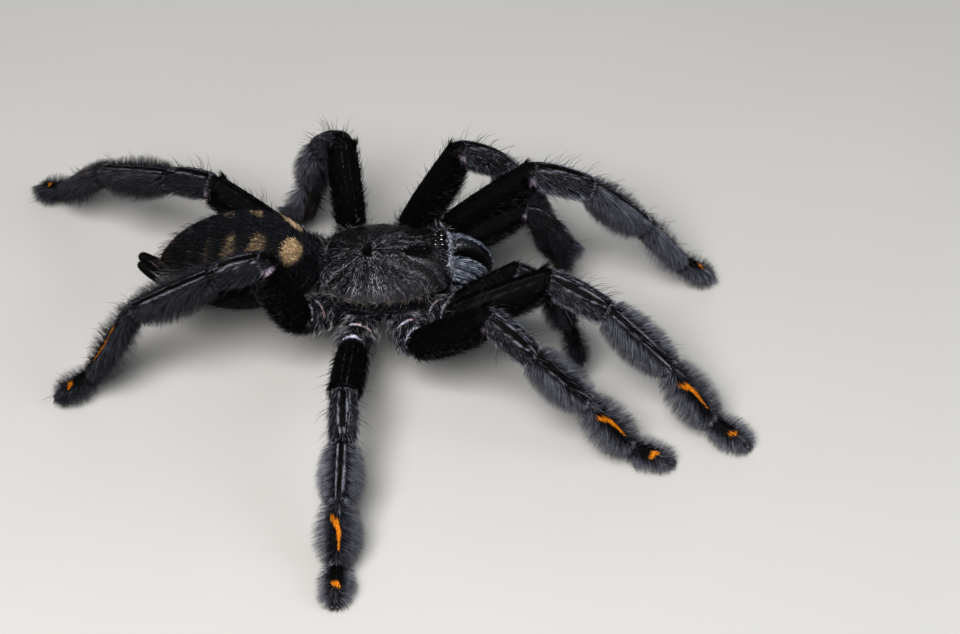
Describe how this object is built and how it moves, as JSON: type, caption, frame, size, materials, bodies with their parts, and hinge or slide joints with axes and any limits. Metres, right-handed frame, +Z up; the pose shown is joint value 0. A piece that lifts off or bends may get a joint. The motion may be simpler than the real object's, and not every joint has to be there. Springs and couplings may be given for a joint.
{
  "type": "tarantula",
  "caption": "Life-size still model of a standing black tree tarantula with orange marks on its feet, tan patches on the abdomen and a long grey coat.",
  "frame": {"origin": "middle of the bounding box, on the floor under the feet", "axes": "+X towards the head, +Y to the spider's left, +Z up"},
  "size_m": [0.111, 0.092, 0.0296],
  "materials": {
    "coat": "long grey-black bristles over a black velvet ground",
    "velvet": "short glossy black velvet with pale bare lines",
    "shell": "dark shell with fine silver-grey hairs that radiate from the pit",
    "abdomen": "black velvet with tan patches and longer bristles",
    "jaw": "blue-grey hairs in rows over a black satin shell",
    "eye": "wet glossy black",
    "horn": "polished black-brown horn"
  },
  "bodies": {
    "root": {"palp_r_hip": "coat", "palp_r_thigh": "velvet", "palp_r_shin": "coat", "palp_r_foot": "coat", "leg_r1_hip": "coat", "leg_r1_thigh": "velvet", "leg_r1_shin": "coat", "leg_r1_foot": "coat", "leg_r2_hip": "coat", "leg_r2_thigh": "velvet", "leg_r2_shin": "coat", "leg_r2_foot": "coat", "leg_r3_hip": "coat", "leg_r3_thigh": "velvet", "leg_r3_shin": "coat", "leg_r3_foot": "coat", "leg_r4_hip": "coat", "leg_r4_thigh": "velvet", "leg_r4_shin": "coat", "leg_r4_foot": "coat", "palp_l_hip": "coat", "palp_l_thigh": "velvet", "palp_l_shin": "coat", "palp_l_foot": "coat", "leg_l1_hip": "coat", "leg_l1_thigh": "velvet", "leg_l1_shin": "coat", "leg_l1_foot": "coat", "leg_l2_hip": "coat", "leg_l2_thigh": "velvet", "leg_l2_shin": "coat", "leg_l2_foot": "coat", "leg_l3_hip": "coat", "leg_l3_thigh": "velvet", "leg_l3_shin": "coat", "leg_l3_foot": "coat", "leg_l4_hip": "coat", "leg_l4_thigh": "velvet", "leg_l4_shin": "coat", "leg_l4_foot": "coat", "sternum": "coat", "eye_front_middle_r": "eye", "eye_front_middle_l": "eye", "eye_front_side_r": "eye", "eye_front_side_l": "eye", "eye_rear_side_r": "eye", "eye_rear_side_l": "eye", "eye_rear_middle_r": "eye", "eye_rear_middle_l": "eye", "carapace": "shell", "abdomen": "abdomen", "spinneret_r": "coat", "jaw_r": "jaw", "fang_r": "horn", "spinneret_l": "coat", "jaw_l": "jaw", "fang_l": "horn"}
  },
  "joints": []
}
